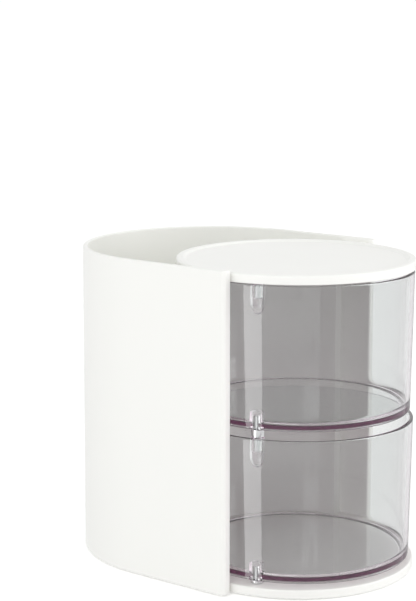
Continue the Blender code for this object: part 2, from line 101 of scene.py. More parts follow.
class Fuse(Enum):
    """What tools do to the body that they meet."""

    JOIN = "UNION"
    CUT = "DIFFERENCE"


class Body(Enum):
    """The bodies that pieces ride on."""

    CASING = "casing"
    LOWER = "lower_drawer"
    UPPER = "upper_drawer"


# Shapes


def arc(centre: Point, radius: float, start: float, end: float, steps: int) -> list[Point]:
    """Points along an arc, both ends included.

    Args:
        centre: Centre of the arc.
        radius: Its radius.
        start: First angle, in degrees.
        end: Last angle, in degrees.
        steps: How many chords the arc has.

    Returns:
        The points in order from start to end.
    """
    points = []
    for step in range(steps + 1):
        angle = math.radians(start + (end - start) * step / steps)
        points.append((centre[0] + radius * math.cos(angle), centre[1] + radius * math.sin(angle)))
    return points


def top_corner(radius: float, top: float, edge: float, steps: int = CORNER_STEPS) -> list[Point]:
    """Rounded corner of a half section, at a radius and under a top."""
    return arc((radius - edge, top - edge), edge, 0.0, 90.0, steps)


def foot_corner(radius: float, foot: float, edge: float, steps: int = CORNER_STEPS) -> list[Point]:
    """Rounded corner of a half section, at a radius and over a foot."""
    return arc((radius - edge, foot + edge), edge, -90.0, 0.0, steps)


def mirrored(points: list[Point]) -> list[Point]:
    """The same points with their X turned round, in the opposite order."""
    return [(-x, y) for x, y in reversed(points)]


def polar(centre: Point, radius: float, degrees: float) -> Point:
    """The point at an angle and a distance from a centre."""
    angle = math.radians(degrees)
    return (centre[0] + radius * math.cos(angle), centre[1] + radius * math.sin(angle))


def heading(start: Point, end: Point) -> float:
    """Direction from one plan point to another, in degrees from +X."""
    return math.degrees(math.atan2(end[1] - start[1], end[0] - start[0]))


def as_piece(bm: bmesh.types.BMesh, name: str) -> bpy.types.Object:
    """Turn a shape into an object that has its place in its mesh.

    Args:
        bm: The shape, which is freed.
        name: Name of the object and of its mesh.

    Returns:
        The linked object.
    """
    bmesh.ops.remove_doubles(bm, verts=bm.verts[:], dist=WELD)
    bmesh.ops.recalc_face_normals(bm, faces=bm.faces[:])
    mesh = bpy.data.meshes.new(name)
    bm.to_mesh(mesh)
    bm.free()
    piece = bpy.data.objects.new(name, mesh)
    bpy.context.scene.collection.objects.link(piece)
    return piece


def turned(name: str, profile: list[Point], centre: Point, steps: int = SMALL_STEPS) -> bpy.types.Object:
    """A half section spun round an upright axis.

    Args:
        name: Name of the piece.
        profile: Points of radius and height, from the axis to the axis.
        centre: Where the axis stands.
        steps: Facets round the axis.

    Returns:
        The turned piece.
    """
    bm = bmesh.new()
    chain = [bm.verts.new((centre[0] + radius, centre[1], height)) for radius, height in profile]
    edges = [bm.edges.new(pair) for pair in zip(chain, chain[1:])]
    bmesh.ops.spin(bm, geom=chain + edges, cent=(centre[0], centre[1], 0.0), axis=(0.0, 0.0, 1.0),
                   angle=math.tau, steps=steps, use_merge=True)
    return as_piece(bm, name)


def drum(centre: Point, radius: float, low: float, high: float,
         steps: int = SMALL_STEPS) -> bpy.types.Object:
    """A plain upright cylinder between two heights, as a tool."""
    return turned("drum", [(0.0, low), (radius, low), (radius, high), (0.0, high)], centre, steps)


def raised(name: str, outline: list[Point], low: float, high: float, top_round: float = 0.0,
           foot_round: float = 0.0) -> bpy.types.Object:
    """A plan outline extruded upwards, with the edges of its top and foot rounded.

    Args:
        name: Name of the piece.
        outline: Corners of the plan.
        low: Height of the foot.
        high: Height of the top.
        top_round: Radius along the top's edges.
        foot_round: Radius along the foot's edges.

    Returns:
        The raised piece.
    """
    bm = bmesh.new()
    floor = bm.faces.new([bm.verts.new((x, y, low)) for x, y in outline])
    lifted = bmesh.ops.extrude_face_region(bm, geom=[floor])["geom"]
    bmesh.ops.translate(bm, vec=(0.0, 0.0, high - low),
                        verts=[item for item in lifted if isinstance(item, bmesh.types.BMVert)])
    middle = (low + high) / 2
    for width, is_top in ((top_round, True), (foot_round, False)):
        if width > 0.0:
            rim = [edge for edge in bm.edges if all((vert.co.z > middle) == is_top for vert in edge.verts)]
            bmesh.ops.bevel(bm, geom=rim, offset=width, segments=ROUND_STEPS, affect="EDGES",
                            profile=0.5, material=-1)
    return as_piece(bm, name)


def block(centre: Point, width: float, depth: float, low: float, high: float,
          turn: float = 0.0, edge: float = 0.0) -> bpy.types.Object:
    """A box on a plan centre, as a tool.

    Args:
        centre: Middle of the box in plan.
        width: Size along its own first axis.
        depth: Size along its own second axis.
        low: Height of its foot.
        high: Height of its top.
        turn: Degrees that it is turned about the vertical.
        edge: Radius of its edges.

    Returns:
        The box.
    """
    bm = bmesh.new()
    bmesh.ops.create_cube(bm, size=1.0)
    bmesh.ops.scale(bm, vec=(width, depth, high - low), verts=bm.verts[:])
    if edge > 0.0:
        bmesh.ops.bevel(bm, geom=bm.edges[:], offset=edge, segments=BLOCK_STEPS, affect="EDGES",
                        profile=0.5, material=-1)
    bmesh.ops.rotate(bm, cent=(0.0, 0.0, 0.0), matrix=Matrix.Rotation(math.radians(turn), 3, "Z"),
                     verts=bm.verts[:])
    bmesh.ops.translate(bm, vec=(centre[0], centre[1], (low + high) / 2), verts=bm.verts[:])
    return as_piece(bm, "block")


def gathered(tools: list[bpy.types.Object]) -> bpy.types.Object:
    """Put tools that don't touch each other into one.

    Args:
        tools: The tools, which are removed.

    Returns:
        The one tool.
    """
    bm = bmesh.new()
    for tool in tools:
        bm.from_mesh(tool.data)
        bpy.data.objects.remove(tool)
    return as_piece(bm, "tools")


def fuse(body: bpy.types.Object, how: Fuse, *tools: bpy.types.Object) -> bpy.types.Object:
    """Join tools to a body or cut them out of it, one after another, and remove them.

    Args:
        body: The piece that is changed.
        how: Whether the tools are joined or cut.
        tools: The shapes to use.

    Returns:
        The body.
    """
    for tool in tools:
        modifier = body.modifiers.new(how.name, "BOOLEAN")
        modifier.operation = how.value
        modifier.solver = "EXACT"
        modifier.object = tool
        bpy.context.view_layer.update()
        result = bpy.data.meshes.new_from_object(body.evaluated_get(bpy.context.evaluated_depsgraph_get()))
        body.modifiers.clear()
        body.data = result
        bpy.data.objects.remove(tool)
        bm = bmesh.new()
        bm.from_mesh(result)
        bmesh.ops.remove_doubles(bm, verts=bm.verts[:], dist=WELD)
        bmesh.ops.dissolve_degenerate(bm, edges=bm.edges[:], dist=WELD)
        bm.to_mesh(result)
        bm.free()
    return body


def smooth(piece: bpy.types.Object) -> None:
    """Shade a piece smoothly, with sharp edges kept and large faces flat up to their roundings.

    Args:
        piece: The finished shape.
    """
    piece.data.shade_smooth()
    piece.data.set_sharp_from_angle(angle=math.radians(SHARP_ANGLE))
    weighted = piece.modifiers.new("flat_faces", "WEIGHTED_NORMAL")
    weighted.keep_sharp = True
    weighted.weight = FLAT_WEIGHT


def nodes_with(word: str) -> list[str]:
    """Names of the frame's nodes that hold a word, in their order."""
    return [name for name in sorted(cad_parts) if word in name]


def plan_centre(name: str) -> Point:
    """Middle of one of the frame's nodes, seen from above."""
    low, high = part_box(name)
    return ((low.x + high.x) / 2, (low.y + high.y) / 2)


def plan_centres(word: str) -> list[Point]:
    """Middles of the frame's nodes that hold a word, seen from above."""
    return [plan_centre(name) for name in nodes_with(word)]


# Finishes


def add_sockets(group: bpy.types.NodeTree, inputs: dict[str, float], colours: list[str],
                outputs: dict[str, str]) -> None:
    """Give a node group its sockets.

    Args:
        group: The group.
        inputs: Names of the number inputs, with their usual values.
        colours: Names of the colour inputs.
        outputs: Names of the outputs, with their socket types.
    """
    for name in colours:
        group.interface.new_socket(name, in_out="INPUT", socket_type="NodeSocketColor")
    for name, value in inputs.items():
        socket = group.interface.new_socket(name, in_out="INPUT", socket_type="NodeSocketFloat")
        socket.default_value = value
    for name, kind in outputs.items():
        group.interface.new_socket(name, in_out="OUTPUT", socket_type=kind)


def sum_of(tree: bpy.types.NodeTree, first: bpy.types.NodeSocket, factor: bpy.types.NodeSocket,
           rest: bpy.types.NodeSocket) -> bpy.types.NodeSocket:
    """First times factor plus rest, as one node of a tree.

    Args:
        tree: The node tree.
        first: Value that is scaled.
        factor: What it is scaled by.
        rest: What is added.

    Returns:
        The result's socket.
    """
    node = tree.nodes.new("ShaderNodeMath")
    node.operation = "MULTIPLY_ADD"
    for place, socket in enumerate((first, factor, rest)):
        tree.links.new(socket, node.inputs[place])
    return node.outputs[0]


def centred_noise(tree: bpy.types.NodeTree, place: bpy.types.NodeSocket, scale: bpy.types.NodeSocket,
                  detail: float) -> bpy.types.NodeSocket:
    """Noise on object coordinates, moved so that its mean is nought.

    Args:
        tree: The node tree.
        place: The coordinates.
        scale: How fine the noise is.
        detail: How many finer layers it has.

    Returns:
        The noise's socket.
    """
    noise = tree.nodes.new("ShaderNodeTexNoise")
    noise.inputs["Detail"].default_value = detail
    tree.links.new(place, noise.inputs["Vector"])
    tree.links.new(scale, noise.inputs["Scale"])
    centre = tree.nodes.new("ShaderNodeMath")
    centre.operation = "SUBTRACT"
    centre.inputs[1].default_value = NOISE_MEAN
    tree.links.new(noise.outputs["Fac"], centre.inputs[0])
    return centre.outputs[0]


def moulded_skin_group() -> bpy.types.NodeTree:
    """Shared skin of a moulded surface: cloudiness, slow waviness, fine grain and a gloss that wanders.

    Returns:
        The group, which puts out a colour, a relief and a roughness.
    """
    group = bpy.data.node_groups.new("moulded_skin", "ShaderNodeTree")
    add_sockets(group, {"Wave size": 40.0, "Grain size": 900.0, "Wave": 1.0, "Grain": 0.3, "Roughness": 0.3,
                        "Gloss spread": 0.05, "Clouding": 0.5}, ["Colour", "Clouded colour"],
                {"Colour": "NodeSocketColor", "Height": "NodeSocketFloat", "Roughness": "NodeSocketFloat"})
    nodes, links = group.nodes, group.links
    entry = nodes.new("NodeGroupInput")
    leave = nodes.new("NodeGroupOutput")
    place = nodes.new("ShaderNodeTexCoord").outputs["Object"]
    wave = centred_noise(group, place, entry.outputs["Wave size"], WAVE_DETAIL)
    grain = centred_noise(group, place, entry.outputs["Grain size"], GRAIN_DETAIL)
    half = nodes.new("ShaderNodeValue").outputs[0]
    half.default_value = 0.5
    grain_height = sum_of(group, grain, entry.outputs["Grain"], half)
    links.new(sum_of(group, wave, entry.outputs["Wave"], grain_height), leave.inputs["Height"])
    links.new(sum_of(group, wave, entry.outputs["Gloss spread"], entry.outputs["Roughness"]),
              leave.inputs["Roughness"])
    mix = nodes.new("ShaderNodeMix")
    mix.data_type = "RGBA"
    mix.clamp_factor = True
    ends = [socket for socket in mix.inputs if socket.type == "RGBA"]
    links.new(sum_of(group, wave, entry.outputs["Clouding"], half), mix.inputs["Factor"])
    links.new(entry.outputs["Colour"], ends[0])
    links.new(entry.outputs["Clouded colour"], ends[1])
    links.new(next(socket for socket in mix.outputs if socket.type == "RGBA"), leave.inputs["Colour"])
    return group


def lathe_marks_group() -> bpy.types.NodeTree:
    """Shared marks of a lathe on turned metal: fine rings along Z that come and go.

    Returns:
        The group, which puts out a relief and a roughness.
    """
    group = bpy.data.node_groups.new("lathe_marks", "ShaderNodeTree")
    add_sockets(group, {"Ring size": 1500.0, "Roughness": 0.3, "Gloss spread": 0.1}, [],
                {"Height": "NodeSocketFloat", "Roughness": "NodeSocketFloat"})
    nodes, links = group.nodes, group.links
    entry = nodes.new("NodeGroupInput")
    leave = nodes.new("NodeGroupOutput")
    place = nodes.new("ShaderNodeTexCoord").outputs["Object"]
    rings = nodes.new("ShaderNodeTexWave")
    rings.wave_type = "BANDS"
    rings.bands_direction = "Z"
    rings.inputs["Distortion"].default_value = RING_WANDER
    rings.inputs["Detail"].default_value = GRAIN_DETAIL
    links.new(place, rings.inputs["Vector"])
    links.new(entry.outputs["Ring size"], rings.inputs["Scale"])
    links.new(rings.outputs["Fac"], leave.inputs["Height"])
    cloud = centred_noise(group, place, entry.outputs["Ring size"], WAVE_DETAIL)
    links.new(sum_of(group, cloud, entry.outputs["Gloss spread"], entry.outputs["Roughness"]),
              leave.inputs["Roughness"])
    return group


def new_finish(name: str, colour: Colour, solidity: float = 1.0) -> bpy.types.Material:
    """A new material with its shader.

    Args:
        name: Name of the material.
        colour: Its colour in the viewport, linear.
        solidity: How solid the viewport shows it.

    Returns:
        The material.
    """
    material = bpy.data.materials.new(name)
    material.use_nodes = True
    material.diffuse_color = (*colour, solidity)
    return material


def lay_on(material: bpy.types.Material, group: bpy.types.NodeTree, relief: float,
           values: dict[str, float | tuple[float, ...]]) -> None:
    """Feed a material's shader from a shared group, and its normals from the group's relief.

    Args:
        material: The material.
        group: The shared group.
        relief: Height of the relief, in metres.
        values: The material's own values for the group's inputs.
    """
    nodes, links = material.node_tree.nodes, material.node_tree.links
    shader = nodes["Principled BSDF"]
    surface = nodes.new("ShaderNodeGroup")
    surface.node_tree = group
    for name, value in values.items():
        surface.inputs[name].default_value = value
    bump = nodes.new("ShaderNodeBump")
    bump.inputs["Distance"].default_value = relief
    if "Colour" in surface.outputs:
        links.new(surface.outputs["Colour"], shader.inputs["Base Color"])
    links.new(surface.outputs["Roughness"], shader.inputs["Roughness"])
    links.new(surface.outputs["Height"], bump.inputs["Height"])
    links.new(bump.outputs["Normal"], shader.inputs["Normal"])


@dataclass(frozen=True)
class MouldedFinish:
    """An opaque moulded surface.

    Attributes:
        name: Name of the material.
        colour: Its colour, linear.
        clouded: The colour where the moulding clouds it.
        roughness: Mean roughness.
        gloss_spread: How far the roughness wanders.
        wave_size: Fineness of the slow waviness.
        grain_size: Fineness of the grain.
        grain: Share of the grain in the relief.
        relief: Height of the relief, in metres.
    """

    name: str
    colour: Colour
    clouded: Colour
    roughness: float
    gloss_spread: float = 0.10
    wave_size: float = 40.0
    grain_size: float = 1100.0
    grain: float = 0.10
    relief: float = 0.02 * MM

    def make(self, skin: bpy.types.NodeTree) -> bpy.types.Material:
        """Build the material.

        Args:
            skin: The shared skin of moulded surfaces.

        Returns:
            The material.
        """
        material = new_finish(self.name, self.colour)
        lay_on(material, skin, self.relief,
               {"Colour": (*self.colour, 1.0), "Clouded colour": (*self.clouded, 1.0),
                "Wave size": self.wave_size, "Grain size": self.grain_size, "Grain": self.grain,
                "Roughness": self.roughness, "Gloss spread": self.gloss_spread})
        return material


@dataclass(frozen=True)
class TurnedMetal:
    """Bare turned metal.

    Attributes:
        name: Name of the material.
        colour: Its colour, linear.
        roughness: Mean roughness.
        ring_size: Fineness of the lathe's rings.
        relief: Height of the rings, in metres.
    """

    name: str
    colour: Colour
    roughness: float
    ring_size: float = 1500.0
    relief: float = 0.004 * MM

    def make(self, marks: bpy.types.NodeTree) -> bpy.types.Material:
        """Build the material.

        Args:
            marks: The shared marks of a lathe.

        Returns:
            The material.
        """
        material = new_finish(self.name, self.colour)
        shader = material.node_tree.nodes["Principled BSDF"]
        shader.inputs["Base Color"].default_value = (*self.colour, 1.0)
        shader.inputs["Metallic"].default_value = 1.0
        lay_on(material, marks, self.relief, {"Ring size": self.ring_size, "Roughness": self.roughness})
        return material


@dataclass(frozen=True)
class ClearPlastic:
    """Clear plastic that turns plum where light runs a long way inside it.

    Attributes:
        name: Name of the material.
        ior: How strongly it bends light.
        roughness: Polish of its surface.
        colour: Tint of its surface, linear.
        clouded: The tint where the moulding clouds it.
        body_tint: Colour that its body lets through.
        body_density: How quickly its body tints, per metre.
        shade: How much of the lamps' light each face lets through.
        wave_size: Fineness of the slow waviness.
        relief: Height of the surface's waviness, in metres.
        solidity: How solid the viewport shows it.
    """

    name: str = "clear_plastic"
    ior: float = 1.5
    roughness: float = 0.02
    colour: Colour = (0.830, 0.862, 0.846)
    clouded: Colour = (0.818, 0.850, 0.834)
    body_tint: Colour = (0.62, 0.30, 0.52)
    body_density: float = 30.0
    shade: Colour = (0.93, 0.93, 0.93)
    wave_size: float = 60.0
    relief: float = 0.012 * MM
    solidity: float = 0.35

    def make(self, skin: bpy.types.NodeTree) -> bpy.types.Material:
        """Build the material, with shadows that light gets through.

        Args:
            skin: The shared skin of moulded surfaces.

        Returns:
            The material.
        """
        material = new_finish(self.name, self.colour, self.solidity)
        nodes, links = material.node_tree.nodes, material.node_tree.links
        shader = nodes["Principled BSDF"]
        shader.inputs["IOR"].default_value = self.ior
        shader.inputs["Transmission Weight"].default_value = 1.0
        lay_on(material, skin, self.relief,
               {"Colour": (*self.colour, 1.0), "Clouded colour": (*self.clouded, 1.0),
                "Wave size": self.wave_size, "Grain": 0.0, "Roughness": self.roughness,
                "Gloss spread": self.roughness})
        through = nodes.new("ShaderNodeBsdfTransparent")
        through.inputs["Color"].default_value = (*self.shade, 1.0)
        path = nodes.new("ShaderNodeLightPath")
        lamp_or_bounce = nodes.new("ShaderNodeMath")
        lamp_or_bounce.operation = "MAXIMUM"
        links.new(path.outputs["Is Shadow Ray"], lamp_or_bounce.inputs[0])
        links.new(path.outputs["Is Diffuse Ray"], lamp_or_bounce.inputs[1])
        choose = nodes.new("ShaderNodeMixShader")
        links.new(lamp_or_bounce.outputs[0], choose.inputs["Fac"])
        links.new(shader.outputs["BSDF"], choose.inputs[1])
        links.new(through.outputs["BSDF"], choose.inputs[2])
        body = nodes.new("ShaderNodeVolumeAbsorption")
        body.inputs["Color"].default_value = (*self.body_tint, 1.0)
        body.inputs["Density"].default_value = self.body_density
        out = nodes["Material Output"]
        links.new(choose.outputs["Shader"], out.inputs["Surface"])
        links.new(body.outputs["Volume"], out.inputs["Volume"])
        return material


@dataclass(frozen=True)
class Palette:
    """The organizer's finishes, made once and shared by its pieces."""

    white: bpy.types.Material
    clear: bpy.types.Material
    steel: bpy.types.Material
    zinc: bpy.types.Material
    rubber: bpy.types.Material

    @classmethod
    def mix(cls) -> "Palette":
        """Make every finish.

        Returns:
            The palette.
        """
        skin = moulded_skin_group()
        marks = lathe_marks_group()
        white = MouldedFinish("white_plastic", colour=(0.918, 0.920, 0.890), clouded=(0.906, 0.908, 0.879),
                              roughness=0.34)
        steel = TurnedMetal("pin_steel", colour=(0.66, 0.66, 0.67), roughness=0.22)
        zinc = TurnedMetal("screw_zinc", colour=(0.60, 0.62, 0.64), roughness=0.36, ring_size=2600.0)
        rubber = MouldedFinish("pad_rubber", colour=(0.33, 0.33, 0.325), clouded=(0.29, 0.29, 0.285),
                               roughness=0.78, grain=1.0, grain_size=2500.0, relief=0.05 * MM)
        return cls(white=white.make(skin), clear=ClearPlastic().make(skin), steel=steel.make(marks),
                   zinc=zinc.make(marks), rubber=rubber.make(skin))


# Sizes that the sub-assemblies share


@dataclass(frozen=True)
class Layout:
    """Places and outside sizes read from the frame, and the walls that follow from them.

    Seen from above, rear is the centre of the rear arc and bay the centre of the drawers' round bay.
    """

    half_width: float
    shell_foot: float
    shell_top: float
    front_y: float
    rear: Point
    bay: Point
    cover_radius: float
    cover_top: float
    base_radius: float
    base_half: float
    base_top: float
    housing_foot: float
    housing_top: float
    housing_front: float
    pivot: Point
    shell_wall: float = 2.5 * MM
    housing_wall: float = 2.2 * MM
    partition_inset: float = 0.3 * MM
    web_setback: float = 13.0 * MM
    cover_height: float = 4.6 * MM
    tray_depth: float = 1.0 * MM
    cover_plate: float = 2.0 * MM
    tab_angles: tuple[float, ...] = (50.0, 90.0, 130.0)
    tab_width: float = 9.0 * MM
    tab_length: float = 7.0 * MM
    catch_height: float = 2.0 * MM
    boss_radius: float = 3.5 * MM
    socket_radius: float = 1.8 * MM

    @classmethod
    def read(cls) -> "Layout":
        """Measure the frame's nodes.

        Returns:
            The shared places and sizes.
        """
        shell_low, shell_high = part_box("outer_shell")
        cover_low, cover_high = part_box("top_cover")
        base_low, base_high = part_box("base_plate")
        housing_low, housing_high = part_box("drawer_housing")
        cover_radius = cover_high.x
        bay_y = cover_low.y + cover_radius
        return cls(
            half_width=shell_high.x, shell_foot=shell_low.z, shell_top=shell_high.z,
            front_y=shell_low.y, rear=(0.0, shell_high.y - shell_high.x), bay=(0.0, bay_y),
            cover_radius=cover_radius, cover_top=cover_high.z, base_radius=bay_y - base_low.y,
            base_half=base_high.x, base_top=base_high.z, housing_foot=housing_low.z,
            housing_top=housing_high.z, housing_front=housing_low.y,
            pivot=plan_centre("middle_pivot_pin"))

    @property
    def shell_inside(self) -> float:
        """Half the width between the shell's side walls."""
        return self.half_width - self.shell_wall

    @property
    def housing_outside(self) -> float:
        """Half the width over the housing's side walls."""
        return self.shell_inside - FIT

    @property
    def housing_inside(self) -> float:
        """Half the width between the housing's side walls."""
        return self.housing_outside - self.housing_wall

    @property
    def partition_outside(self) -> float:
        """Outer radius of the partition round the drawers."""
        return self.cover_radius - self.partition_inset

    @property
    def partition_inside(self) -> float:
        """Inner radius of that partition."""
        return self.partition_outside - self.housing_wall

    @property
    def cover_foot(self) -> float:
        """Height of the cover's lower edge."""
        return self.cover_top - self.cover_height

    @property
    def tray_floor(self) -> float:
        """Height of the cover's tray."""
        return self.cover_top - self.tray_depth

    @property
    def cover_under(self) -> float:
        """Height of the underside of the cover's plate."""
        return self.tray_floor - self.cover_plate

    @property
    def web_front(self) -> float:
        """Where the webs beside the partition begin."""
        return self.bay[1] + self.web_setback

    @property
    def web_back(self) -> float:
        """Where the webs end."""
        return self.web_front + self.housing_wall


# Sub-assemblies


@dataclass
class SubAssembly:
    """What every sub-assembly has: the shared sizes and the finishes."""

    layout: Layout
    palette: Palette

    def dressed(self, piece: bpy.types.Object, material: bpy.types.Material, slot: Slot, body: Body,
                *nodes: str) -> bpy.types.Object:
        """Shade a piece and give it its finish, the body it rides on and the nodes it stands for.

        Args:
            piece: The finished shape.
            material: Its finish.
            slot: The record's slot for that finish. Not used.
            body: The body that it belongs to.
            nodes: Frame nodes that it stands for.

        Returns:
            The piece.
        """
        smooth(piece)
        piece.data.materials.clear()
        piece.data.materials.append(material)
        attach(piece, body.value)
        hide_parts(*nodes)
        return piece

    def build(self) -> list[bpy.types.Object]:
        """Build the pieces, dress them and return them."""
        raise NotImplementedError


@dataclass
class ScrewBoss:
    """A boss with a pilot hole, from a wall's foot up."""

    radius: float = 3.2 * MM
    height: float = 13.0 * MM
    step: float = 0.2 * MM
    hole_radius: float = 1.5 * MM
    hole_depth: float = 10.5 * MM
    top_round: float = 0.5 * MM
    web_width: float = 2.4 * MM

    def post(self, place: Point, foot: float) -> bpy.types.Object:
        """The round post with its hole.

        Args:
            place: Where its axis stands.
            foot: Height of the wall's foot.

        Returns:
            The post.
        """
        top = foot + self.height
        profile = [(0.0, foot + self.hole_depth), (self.hole_radius, foot + self.hole_depth),
                   (self.hole_radius, foot + self.step), (self.radius, foot + self.step)]
        profile += top_corner(self.radius, top, self.top_round)
        return turned("boss", profile + [(0.0, top)], place)

    def web(self, place: Point, foot: float, reach: float, turn: float) -> bpy.types.Object:
        """The web between the post and its wall.

        Args:
            place: Where the post's axis stands.
            foot: Height of the wall's foot.
            reach: Distance from the axis to the wall.
            turn: Direction of the wall, in degrees from +X.

        Returns:
            The web.
        """
        start = (self.radius + self.hole_radius) / 2
        middle = polar(place, (start + reach + SINK) / 2, turn)
        return block(middle, reach + SINK - start, self.web_width, foot + SINK, foot + self.height - SINK,
                     turn)


@dataclass
class OuterShell(SubAssembly):
    """The tall U-shaped wall with its returned, rounded front edges."""

    lip_depth: float = 2.4 * MM
    lip_coverage: float = 0.4 * MM
    edge_round: float = 2.2 * MM
    lip_round: float = 1.0 * MM
    top_round: float = 0.8 * MM
    foot_round: float = 0.5 * MM

    def outline(self) -> list[Point]:
        """Plan of the wall.

        Returns:
            Its corners in order.
        """
        size = self.layout
        lip = size.housing_inside - self.lip_coverage
        corner = (size.half_width - self.edge_round, size.front_y + self.edge_round)
        right = arc((lip + self.lip_round, size.front_y + self.lip_round), self.lip_round, 180.0, 270.0,
                    ROUND_STEPS)
        right += arc(corner, self.edge_round, 270.0, 360.0, ROUND_STEPS * 2)
        outer = arc(size.rear, size.half_width, 0.0, 180.0, ARC_STEPS)
        inside = arc(size.rear, size.shell_inside, 180.0, 0.0, ARC_STEPS)
        back = size.front_y + self.lip_depth
        left_back = [(-lip, back), (-size.shell_inside, back)]
        return right + outer + mirrored(right) + left_back + inside + mirrored(left_back)

    def build(self) -> list[bpy.types.Object]:
        """Build the wall with the screw bosses at its foot.

        Returns:
            The dressed wall, alone in a list.
        """
        size = self.layout
        wall = raised("shell_wall", self.outline(), size.shell_foot, size.shell_top, self.top_round,
                      self.foot_round)
        boss = ScrewBoss()
        places = plan_centres("shell_screw")
        webs = []
        for place in places:
            reach = size.shell_inside - math.dist(size.rear, place)
            webs.append(boss.web(place, size.housing_foot, reach, heading(size.rear, place)))
        fuse(wall, Fuse.JOIN, gathered(webs))
        fuse(wall, Fuse.JOIN, gathered([boss.post(place, size.housing_foot) for place in places]))
        return [self.dressed(wall, self.palette.white, Slot.WHITE, Body.CASING, "outer_shell")]


@dataclass
class DrawerHousing(SubAssembly):
    """The curved partition behind the drawers, with its webs, side walls, windows and screw bosses."""

    edge_round: float = 0.5 * MM

    def outline(self) -> list[Point]:
        """Plan of the partition, the webs and the side walls.

        Returns:
            Its corners in order.
        """
        size = self.layout
        start_out = math.degrees(math.asin((size.web_back - size.bay[1]) / size.partition_outside))
        start_in = math.degrees(math.asin((size.web_front - size.bay[1]) / size.partition_inside))
        outer = arc(size.bay, size.partition_outside, start_out, 180.0 - start_out, ARC_STEPS)
        inner = arc(size.bay, size.partition_inside, 180.0 - start_in, start_in, ARC_STEPS)
        right = [(size.housing_inside, size.web_front), (size.housing_inside, size.housing_front),
                 (size.housing_outside, size.housing_front), (size.housing_outside, size.web_back)]
        return right + outer + mirrored(right) + inner

    def windows(self) -> bpy.types.Object:
        """Cutter for the windows that the cover's catches snap into.

        Returns:
            The cutter.
        """
        size = self.layout
        low = size.cover_under - size.tab_length + SINK - FIT
        middle = (size.partition_inside + size.partition_outside) / 2
        return gathered([block(polar(size.bay, middle, angle), size.housing_wall + OVERRUN,
                               size.tab_width + FIT * 2, low, low + size.catch_height + FIT * 2, angle)
                         for angle in size.tab_angles])

    def build(self) -> list[bpy.types.Object]:
        """Build the walls, then cut the cover's seat and the windows, and add the screw bosses.

        Returns:
            The dressed housing, alone in a list.
        """
        size = self.layout
        body = raised("housing_wall", self.outline(), size.housing_foot, size.housing_top, self.edge_round)
        seat = drum(size.bay, size.cover_radius + FIT, size.cover_foot - FIT, size.housing_top + OVERRUN,
                    DISC_STEPS)
        fuse(body, Fuse.CUT, seat, self.windows())
        boss = ScrewBoss()
        posts = [boss.post(place, size.housing_foot) for place in plan_centres("housing_screw")]
        fuse(body, Fuse.JOIN, gathered(posts))
        return [self.dressed(body, self.palette.white, Slot.WHITE, Body.CASING, "drawer_housing")]


@dataclass
class TopCover(SubAssembly):
    """The round cover: a raised rim round a shallow tray, snap tabs, and a boss for the upper pin."""

    edge_round: float = 1.3 * MM
    low_round: float = 0.3 * MM
    rim_wall: float = 2.5 * MM
    rim_width: float = 3.2 * MM
    tray_slope: float = 2.2 * MM
    crest_round: float = 1.4 * MM
    tray_cove: float = 2.0 * MM
    tab_wall: float = 1.4 * MM
    catch_reach: float = 1.5 * MM

    def profile(self) -> list[Point]:
        """Half section of the disc.

        Returns:
            Points from the axis under the plate to the axis above it.
        """
        size = self.layout
        radius, top, foot = size.cover_radius, size.cover_top, size.cover_foot
        crest = radius - self.rim_width
        slope = math.degrees(math.atan2(size.tray_depth, self.tray_slope))
        points = [(0.0, size.cover_under), (radius - self.rim_wall, size.cover_under),
                  (radius - self.rim_wall, foot)]
        points += foot_corner(radius, foot, self.low_round, FINE_STEPS)
        points += top_corner(radius, top, self.edge_round, BOLD_STEPS)
        points += arc((crest, top - self.crest_round), self.crest_round, 90.0, 90.0 + slope, ROUND_STEPS)
        points += arc((crest - self.tray_slope, size.tray_floor + self.tray_cove), self.tray_cove,
                      slope - 90.0, -90.0, ROUND_STEPS)
        return points + [(0.0, size.tray_floor)]

    def tabs(self) -> list[bpy.types.Object]:
        """The leaves that hang from the disc, each with its catch.

        Returns:
            All the leaves as one tool, and all the catches as another.
        """
        size = self.layout
        outside = math.sqrt((size.partition_inside - FIT) ** 2 - (size.tab_width / 2) ** 2)
        foot = size.cover_under - size.tab_length
        leaves = [block(polar(size.bay, outside - self.tab_wall / 2, angle), self.tab_wall, size.tab_width,
                        foot, size.cover_under + SINK, angle) for angle in size.tab_angles]
        catches = [block(polar(size.bay, outside + (self.catch_reach - SINK) / 2, angle),
                         self.catch_reach + SINK, size.tab_width - SINK * 2, foot + SINK,
                         foot + SINK + size.catch_height, angle, SINK / 2) for angle in size.tab_angles]
        return [gathered(leaves), gathered(catches)]

    def build(self) -> list[bpy.types.Object]:
        """Build the disc with its tabs and boss.

        Returns:
            The dressed cover, alone in a list.
        """
        size = self.layout
        disc = turned("cover_disc", self.profile(), size.bay, DISC_STEPS)
        boss = drum(size.pivot, size.boss_radius, size.cover_foot, size.cover_under + SINK)
        bore = drum(size.pivot, size.socket_radius, size.cover_foot - OVERRUN,
                    size.tray_floor - size.cover_plate / 2)
        fuse(disc, Fuse.JOIN, *self.tabs(), boss)
        fuse(disc, Fuse.CUT, bore)
        return [self.dressed(disc, self.palette.white, Slot.WHITE, Body.CASING, "top_cover")]


